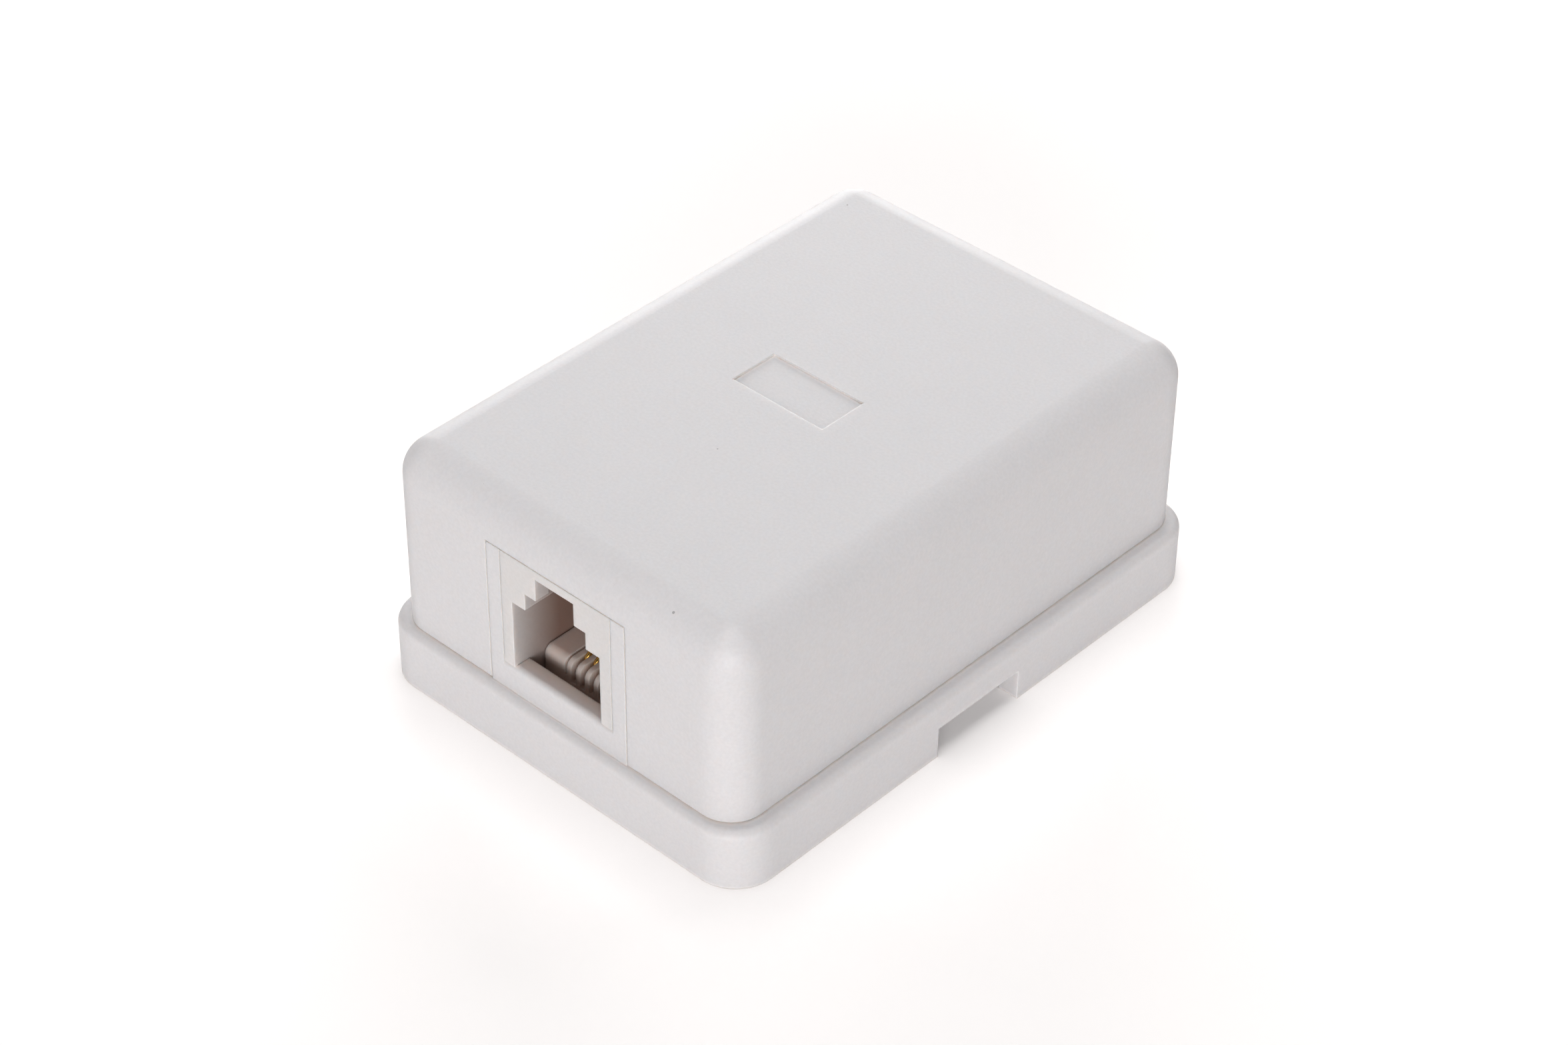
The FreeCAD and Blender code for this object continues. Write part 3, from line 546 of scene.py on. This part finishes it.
class JACKBOX_OT_contacts(bpy.types.Operator):
    """Spring wires: a run in the carrier's slot, a bend round its nose and a rising free arm"""
    bl_idname = "jackbox.contacts"
    bl_label = "Contact wires"

    def execute(self, context):
        look = context.scene.jackbox_contacts
        radius = look.diameter / 2
        routes = []
        for name in CONTACT_NAMES:
            low, high = (Vector(c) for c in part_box(name))
            x = (low.x + high.x) / 2
            run_z = low.z + radius
            corner_y = low.y + radius + look.bend - look.bend / math.tan(look.rise / 2)
            tip_y = high.y - look.arm_set_back
            tip_z = run_z + (tip_y - corner_y) * math.tan(look.rise)
            routes.append([(x, high.y, run_z), (x, corner_y, run_z), (x, tip_y, tip_z)])
        inputs = {"Radius": radius, "Bend radius": look.bend, "Sides": 24,
                  "Material": gold_plate()}
        wires = bake_tree("contact_wires", route_object(routes), tube_tree(), inputs)
        ride_and_stand_for(wires, "base", CONTACT_NAMES)
        return {"FINISHED"}


# ---- leads ---------------------------------------------------------------------------
def lug_heading(side, look):
    """Unit vector in plan from a terminal screw towards its lug's barrel."""
    return Vector((-side * math.cos(look.lug_turn), -math.sin(look.lug_turn), 0))


class JACKBOX_OT_leads(bpy.types.Operator):
    """Insulated leads from the back of the socket into the lugs, with their bare strands"""
    bl_idname = "jackbox.leads"
    bl_label = "Leads"

    def execute(self, context):
        look = context.scene.jackbox_terminals
        wire_radius = context.scene.jackbox_contacts.diameter / 2
        tree = tube_tree()
        strands = []
        front_y = min(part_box(name)[0][1] for name in SCREW_NAMES)
        for i, (name, colour) in enumerate(LEAD_COLOURS.items()):
            low, high = (Vector(c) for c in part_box(SCREW_NAMES[i]))
            axis = (low + high) / 2
            side = 1 if axis.x > 0 else -1
            heading = lug_heading(side, look)
            barrel = Vector((axis.x, axis.y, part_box(LUG_NAMES[i])[0][2] + look.barrel_radius))
            mouth = barrel + heading * look.lug_reach
            end = mouth - heading * LEAD_IN_BARREL
            wire_low, wire_high = (Vector(c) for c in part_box(CONTACT_NAMES[i]))
            start = Vector(((wire_low.x + wire_high.x) / 2, wire_high.y,
                            wire_low.z + wire_radius))
            if low.y < front_y + MM:
                route = [start, start + Vector((0, NEAR_OUT, 0)),
                         mouth + heading * NEAR_INTO_LUG, end]
                bend = NEAR_BEND
            else:
                lane = side * (abs(axis.x) - FAR_LANE)
                turn_in = mouth + heading * (abs(mouth.x) - abs(lane)) / abs(heading.x)
                rise = Vector((lane, start.y + FAR_ALONG, start.z + FAR_LIFT))
                route = [start, start + Vector((0, FAR_OUT, 0)), rise, turn_in, end]
                bend = FAR_BEND
            inputs = {"Radius": look.lead_diameter / 2, "Bend radius": bend, "Sides": 24,
                      "Material": extruded_pvc(name.replace("_", " ") + " PVC", colour)}
            lead = bake_tree(name + "_insulation", route_object([route]), tree, inputs)
            ride_and_stand_for(lead, "base", [name])
            strands += strand_routes(end, heading)
        drawn = dull_metal("drawn copper strand", ("#A8794F", "#CFA47C"), (0.25, 0.4), 0.6 * MM)
        inputs = {"Radius": STRAND_RADIUS, "Bend radius": 0.0, "Sides": 8, "Material": drawn}
        copper = bake_tree("lead_strands", route_object(strands), tree, inputs)
        ride_and_stand_for(copper, "base", [])
        return {"FINISHED"}


def strand_routes(end, heading):
    """Strands, one in the middle of a ring, from the insulation's end through the barrel."""
    across = heading.cross(Vector((0, 0, 1)))
    in_ring = STRAND_COUNT - 1
    routes = []
    for k in range(STRAND_COUNT):
        reach = STRAND_RING if k < in_ring else 0.0
        turn = math.tau * k / in_ring
        offset = across * (reach * math.cos(turn)) + Vector((0, 0, reach * math.sin(turn)))
        length = STRAND_LENGTH + STRAND_STEP * (k % 3)
        routes.append([end + heading * STRAND_START + offset, end - heading * length + offset])
    return routes


# ---- spade lugs ----------------------------------------------------------------------
def lug_mesh(look):
    """Stamped fork with rounded tines and a barrel rolled from the same sheet."""
    shape = bmesh.new()
    half, neck, slot = FORK_HALF_WIDTH, NECK_HALF_WIDTH, FORK_SLOT_RADIUS
    shoulder, tip, throat = 1.5 * MM, 0.5 * MM, 0.3 * MM   # outer corners, tips, slot's mouth
    shoulder_steps, slot_steps, sharp = 6, 16, 1.2   # an edge is sharp over 1.2 radians
    barrel_x = look.lug_reach - BARREL_LENGTH
    outline = [(-half + tip, -half)]
    outline += arc((half - shoulder, -half + shoulder, -90), shoulder, shoulder_steps)
    outline += [(half, -neck), (barrel_x + FORK_SHEET, -neck), (barrel_x + FORK_SHEET, neck),
                (half, neck)]
    outline += arc((half - shoulder, half - shoulder, 0), shoulder, shoulder_steps)
    outline += [(-half + tip, half), (-half, half - tip), (-half, slot + throat),
                (-half + throat, slot)]
    for i in range(slot_steps + 1):
        turn = math.pi / 2 - math.pi * i / slot_steps
        outline.append((slot * math.cos(turn), slot * math.sin(turn)))
    outline += [(-half + throat, -slot), (-half, -slot - throat), (-half, -half + tip)]
    add_prism(shape, outline, FORK_SHEET)
    rims = [e for e in shape.edges if e.is_manifold and e.calc_face_angle(0) > sharp
            and abs(e.verts[0].co.z - e.verts[1].co.z) < 1e-7]
    bmesh.ops.bevel(shape, geom=rims, offset=0.1 * MM, segments=2, affect="EDGES")
    roll_barrel(shape, barrel_x, BARREL_LENGTH, look.barrel_radius, BARREL_WALL)
    # faces sorted by their vertices, so that each run gives the same mesh
    shape.verts.index_update()
    faces = sorted([v.index for v in face.verts] for face in shape.faces)
    mesh = bpy.data.meshes.new("lug")
    mesh.from_pydata([v.co for v in shape.verts], [], faces)
    shape.free()
    return mesh


def arc(centre, radius, steps):
    """Quarter turn of points round a centre given as (x, y, start in degrees)."""
    cx, cy, start = centre
    turns = [math.radians(start + 90 * i / steps) for i in range(steps + 1)]
    return [(cx + radius * math.cos(t), cy + radius * math.sin(t)) for t in turns]


def add_prism(shape, outline, height):
    """Upright prism on an outline, faces pointing out."""
    ring = [shape.verts.new((x, y, 0)) for x, y in outline]
    bottom = shape.faces.new(ring)
    grown = bmesh.ops.extrude_face_region(shape, geom=[bottom])
    raised = [v for v in grown["geom"] if isinstance(v, bmesh.types.BMVert)]
    bmesh.ops.translate(shape, vec=(0, 0, height), verts=raised)
    bmesh.ops.recalc_face_normals(shape, faces=shape.faces)


def roll_barrel(shape, x0, length, radius, wall):
    """Tube rolled from sheet: closed round the lead with a seam along its top."""
    steps, gap = 28, math.radians(9)
    rings = []
    for x in (x0, x0 + length):
        loop = []
        for r in (radius, radius - wall):
            turns = [math.pi / 2 + gap + (math.tau - 2 * gap) * i / steps
                     for i in range(steps + 1)]
            loop.append([shape.verts.new((x, r * math.cos(t), radius + r * math.sin(t)))
                         for t in turns])
        rings.append(loop[0] + loop[1][::-1])
    count = len(rings[0])
    for i in range(count):
        j = (i + 1) % count
        shape.faces.new((rings[0][i], rings[0][j], rings[1][j], rings[1][i]))
    for ring in rings:
        for i in range(steps):
            a, b = ring[i], ring[i + 1]
            c, d = ring[count - 2 - i], ring[count - 1 - i]
            shape.faces.new((a, b, c, d))
    bmesh.ops.recalc_face_normals(shape, faces=shape.faces)


def lug_tree():
    """Nodes that set one lug on each terminal, turned to its heading."""
    tree = bpy.data.node_groups.new("lugs on terminals", "GeometryNodeTree")
    sockets = [("Geometry", "NodeSocketGeometry", None), ("Lug", "NodeSocketObject", None),
               ("Material", "NodeSocketMaterial", None)]
    given = group_sockets(tree, sockets)
    lug = add_node(tree, "GeometryNodeObjectInfo", links={"Object": given["Lug"]})
    turn = add_node(tree, "GeometryNodeInputNamedAttribute", {"Name": "turn"},
                    data_type="FLOAT_VECTOR")
    spin = add_node(tree, "FunctionNodeEulerToRotation",
                    links={"Euler": turn.outputs["Attribute"]})
    placed = add_node(tree, "GeometryNodeInstanceOnPoints",
                      links={"Points": given["Geometry"], "Instance": lug.outputs["Geometry"],
                             "Rotation": spin.outputs["Rotation"]})
    finish_tree(tree, placed.outputs["Instances"], given["Material"])
    return tree


class JACKBOX_OT_lugs(bpy.types.Operator):
    """Spade lugs under the washers, with rolled barrels"""
    bl_idname = "jackbox.lugs"
    bl_label = "Spade lugs"

    def execute(self, context):
        look = context.scene.jackbox_terminals
        pattern = bpy.data.objects.new("lug_pattern", lug_mesh(look))
        context.collection.objects.link(pattern)
        points, turns = [], []
        for screw, lug in zip(SCREW_NAMES, LUG_NAMES):
            low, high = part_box(screw)
            x, y = (low[0] + high[0]) / 2, (low[1] + high[1]) / 2
            heading = lug_heading(1 if x > 0 else -1, look)
            points.append((x, y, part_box(lug)[0][2]))
            turns.append((0, 0, math.atan2(heading.y, heading.x)))
        seats = bpy.data.meshes.new("lug_seats")
        seats.from_pydata(points, [], [])
        turn = seats.attributes.new("turn", "FLOAT_VECTOR", "POINT")
        for item, value in zip(turn.data, turns):
            item.vector = value
        carrier = bpy.data.objects.new("lug_seats", seats)
        context.collection.objects.link(carrier)
        tinned = dull_metal("tinned brass stamping", ("#C2BFB6", "#DEDCD5"), (0.34, 0.5),
                            1.5 * MM)
        lugs = bake_tree("spade_lugs", carrier, lug_tree(), {"Lug": pattern, "Material": tinned})
        bpy.data.objects.remove(pattern)
        smooth_by_angle(lugs, 40)
        ride_and_stand_for(lugs, "base", LUG_NAMES)
        return {"FINISHED"}


# ---- screws and washers --------------------------------------------------------------
def screw_tree():
    """Nodes for a pan head screw: turned head with a crossed slot, core and rolled thread."""
    tree = bpy.data.node_groups.new("pan head screw", "GeometryNodeTree")
    lengths = {"Head radius": 3.1 * MM, "Head height": 2.1 * MM, "Shank radius": 1.5 * MM,
               "Shank length": 5.5 * MM, "Pitch": 0.7 * MM, "Slot width": 0.9 * MM,
               "Slot length": 4.2 * MM, "Slot depth": 1.1 * MM}
    sockets = [("Geometry", "NodeSocketGeometry", None), ("Seat", "NodeSocketVector", None)]
    sockets += [(name, "NodeSocketFloat", length) for name, length in lengths.items()]
    given = group_sockets(tree, sockets + [("Material", "NodeSocketMaterial", None)])
    size = {name: given[name] for name in lengths}
    for name, operation, *terms in SCREW_SUMS:
        node = add_node(tree, "ShaderNodeMath", operation=operation)
        for i, term in enumerate(terms):
            if term in size:
                tree.links.new(size[term], node.inputs[i])
            else:
                node.inputs[i].default_value = term
        size[name] = node.outputs[0]
    upright = {name: add_node(tree, "ShaderNodeCombineXYZ", links={"Z": size[name]}).outputs[0]
               for name in ("Head height", "cutter middle", "second middle", "core middle",
                            "thread start")}

    # the head is a line up the axis whose radius rounds off towards the top
    line = add_node(tree, "GeometryNodeCurvePrimitiveLine", links={"End": upright["Head height"]})
    spine = add_node(tree, "GeometryNodeResampleCurve", {"Count": 33},
                     {"Curve": line.outputs["Curve"]})
    along = add_node(tree, "GeometryNodeSplineParameter").outputs["Factor"]
    widths = []
    for steps in (HEAD_ROUNDING, HEAD_FOOT):
        width = along
        for operation, number in steps:
            width = add_node(tree, "ShaderNodeMath", {1: number}, {0: width},
                             operation=operation).outputs[0]
        widths.append(width)
    profile = add_node(tree, "ShaderNodeMath", links=dict(enumerate(widths)),
                       operation="MULTIPLY")
    swell = add_node(tree, "GeometryNodeSetCurveRadius",
                     links={"Curve": spine.outputs["Curve"], "Radius": profile.outputs[0]})
    rim = add_node(tree, "GeometryNodeCurvePrimitiveCircle", {"Resolution": 64},
                   {"Radius": given["Head radius"]})
    cut = add_node(tree, "GeometryNodeCurveToMesh", {"Fill Caps": True},
                   {"Curve": swell.outputs["Curve"], "Profile Curve": rim.outputs["Curve"]})
    # two cutters, one after the other and a hair apart in height, leave a clean cross
    for middle, x, y in (("cutter middle", "Slot length", "Slot width"),
                         ("second middle", "Slot width", "Slot length")):
        extent = add_node(tree, "ShaderNodeCombineXYZ",
                          links={"X": size[x], "Y": size[y], "Z": size["cutter height"]})
        cutter = add_node(tree, "GeometryNodeMeshCube", links={"Size": extent.outputs[0]})
        moved = add_node(tree, "GeometryNodeTransform",
                         links={"Geometry": cutter.outputs["Mesh"],
                                "Translation": upright[middle]})
        cut = add_node(tree, "GeometryNodeMeshBoolean", operation="DIFFERENCE",
                       links={"Mesh 1": cut.outputs["Mesh"], "Mesh 2": moved.outputs["Geometry"]})

    rod = add_node(tree, "GeometryNodeMeshCylinder", {"Vertices": 40},
                   {"Radius": size["core radius"], "Depth": given["Shank length"]})
    helix = add_node(tree, "GeometryNodeCurveSpiral", {"Resolution": 40},
                     {"Rotations": size["turns"], "Start Radius": size["core radius"],
                      "End Radius": size["core radius"], "Height": size["thread length"]})
    tooth = add_node(tree, "GeometryNodeCurvePrimitiveQuadrilateral", mode="KITE",
                     links={"Width": size["tooth width"], "Bottom Height": size["crest"],
                            "Top Height": size["crest"]})
    thread = add_node(tree, "GeometryNodeCurveToMesh", {"Fill Caps": True},
                      {"Curve": helix.outputs["Curve"], "Profile Curve": tooth.outputs["Curve"]})
    whole = add_node(tree, "GeometryNodeJoinGeometry",
                     links={"Geometry": cut.outputs["Mesh"]})
    for part, place in ((rod, "core middle"), (thread, "thread start")):
        moved = add_node(tree, "GeometryNodeTransform",
                         links={"Geometry": part.outputs["Mesh"], "Translation": upright[place]})
        tree.links.new(moved.outputs["Geometry"], whole.inputs["Geometry"])
    seated = add_node(tree, "GeometryNodeTransform",
                      links={"Geometry": whole.outputs["Geometry"],
                             "Translation": given["Seat"]})
    finish_tree(tree, seated.outputs["Geometry"], given["Material"])
    return tree


class JACKBOX_OT_screws(bpy.types.Operator):
    """Terminal screws with crossed slots and threads, and their washers"""
    bl_idname = "jackbox.screws"
    bl_label = "Screws and washers"

    def execute(self, context):
        look = context.scene.jackbox_terminals
        zinc = dull_metal("zinc plated steel", ("#C3C6C8", "#E4E5E6"), (0.32, 0.5), 2 * MM)
        tree = screw_tree()
        for screw, washer in zip(SCREW_NAMES, WASHER_NAMES):
            dress(washer, zinc)
            low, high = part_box(screw)
            seat = ((low[0] + high[0]) / 2, (low[1] + high[1]) / 2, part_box(washer)[1][2])
            inputs = {"Seat": seat, "Head radius": (high[0] - low[0]) / 2,
                      "Head height": high[2] - seat[2], "Shank length": seat[2] - low[2],
                      "Pitch": look.pitch, "Material": zinc}
            seed = bpy.data.objects.new(screw + "_seed", bpy.data.meshes.new(screw + "_seed"))
            context.collection.objects.link(seed)
            piece = bake_tree(screw + "_turned", seed, tree, inputs)
            smooth_by_angle(piece, 35)
            ride_and_stand_for(piece, screw, [screw])
        return {"FINISHED"}


# ---- stage ---------------------------------------------------------------------------
def direction_at(azimuth, elevation):
    """Unit vector out from the box, by the angle round it from its front and above the table."""
    return Vector((math.sin(azimuth) * math.cos(elevation),
                   -math.cos(azimuth) * math.cos(elevation), math.sin(elevation)))


def soft_box(name, azimuth, elevation, power):
    """Square area light that faces the box."""
    data = bpy.data.lights.new(name, "AREA")
    data.size = LAMP_SIZE
    data.energy = power
    lamp = bpy.data.objects.new(name, data)
    bpy.context.collection.objects.link(lamp)
    lamp.location = LAMP_DISTANCE * direction_at(math.radians(azimuth), math.radians(elevation))
    to_box = Vector((0, 0, LAMP_AIM_HEIGHT)) - lamp.location
    lamp.rotation_euler = to_box.to_track_quat("-Z", "Y").to_euler()


def stand_camera(look):
    """Camera on its ray from the box, rolled and slid in its own frame."""
    back = direction_at(look.azimuth, look.elevation)
    right = Vector((math.cos(look.azimuth), math.sin(look.azimuth), 0))
    up = back.cross(right)
    turned_right = math.cos(look.roll) * right + math.sin(look.roll) * up
    turned_up = math.cos(look.roll) * up - math.sin(look.roll) * right
    middle = (Vector((0, 0, look.aim_height)) - look.slide_left * turned_right
              - look.slide_down * turned_up)
    data = bpy.data.cameras.new("camera")
    data.lens = look.lens
    data.sensor_width = 36
    data.clip_start = 0.01
    camera = bpy.data.objects.new("camera", data)
    bpy.context.collection.objects.link(camera)
    axes = Matrix((turned_right, turned_up, back)).transposed().to_4x4()
    camera.matrix_world = Matrix.Translation(middle + back * look.distance) @ axes
    bpy.context.scene.camera = camera


class JACKBOX_OT_stage(bpy.types.Operator):
    """White sheet, white tent, soft boxes and the camera"""
    bl_idname = "jackbox.stage"
    bl_label = "Stage"

    def execute(self, context):
        look = context.scene.jackbox_stage
        bpy.ops.mesh.primitive_plane_add(size=SHEET_SIZE)
        floor = context.object
        floor.name = "table_sheet"
        floor.data.transform(Matrix.Translation((0, 0, -SHEET_DROP)))
        floor.data.materials.append(table_sheet())
        world = bpy.data.worlds.new("white tent")
        world.use_nodes = True
        tent = world.node_tree.nodes["Background"]
        tent.inputs["Color"].default_value = (1, 1, 1, 1)
        tent.inputs["Strength"].default_value = look.sky
        context.scene.world = world
        for lamp in LAMPS:
            soft_box(*lamp)
        context.scene.view_settings.view_transform = "Standard"
        context.scene.view_settings.gamma = 0.8
        stand_camera(look)
        return {"FINISHED"}


class JACKBOX_PT_panel(bpy.types.Panel):
    """Jack box settings and steps"""
    bl_label = "Jack box"
    bl_idname = "JACKBOX_PT_panel"
    bl_space_type = "VIEW_3D"
    bl_region_type = "UI"
    bl_category = "Jack box"

    def draw(self, context):
        layout = self.layout
        for group, operators in STEPS:
            box = layout.box()
            settings = getattr(context.scene, group)
            for name in settings.bl_rna.properties.keys():
                if name not in ("rna_type", "name"):
                    box.prop(settings, name)
            for operator in operators:
                box.operator(operator.bl_idname)


STEPS = [
    ("jackbox_plastic", [JACKBOX_OT_case, JACKBOX_OT_socket]),
    ("jackbox_contacts", [JACKBOX_OT_contacts]),
    ("jackbox_terminals", [JACKBOX_OT_leads, JACKBOX_OT_lugs, JACKBOX_OT_screws]),
    ("jackbox_stage", [JACKBOX_OT_stage]),
]
GROUPS = {"jackbox_plastic": JackBoxPlastic, "jackbox_contacts": JackBoxContacts,
          "jackbox_terminals": JackBoxTerminals, "jackbox_stage": JackBoxStage}
CLASSES = list(GROUPS.values()) + [op for _, ops in STEPS for op in ops] + [JACKBOX_PT_panel]


def register():
    """Add the classes and their settings."""
    for cls in CLASSES:
        bpy.utils.register_class(cls)
    for name, group in GROUPS.items():
        setattr(bpy.types.Scene, name, bpy.props.PointerProperty(type=group))


def unregister():
    """Take the settings and the classes away again."""
    for name in GROUPS:
        delattr(bpy.types.Scene, name)
    for cls in reversed(CLASSES):
        bpy.utils.unregister_class(cls)


def main():
    """Register everything and run each step in order."""
    register()
    bpy.ops.jackbox.case()
    bpy.ops.jackbox.socket()
    bpy.ops.jackbox.contacts()
    bpy.ops.jackbox.leads()
    bpy.ops.jackbox.lugs()
    bpy.ops.jackbox.screws()
    bpy.ops.jackbox.stage()


if __name__ == "__main__":
    main()
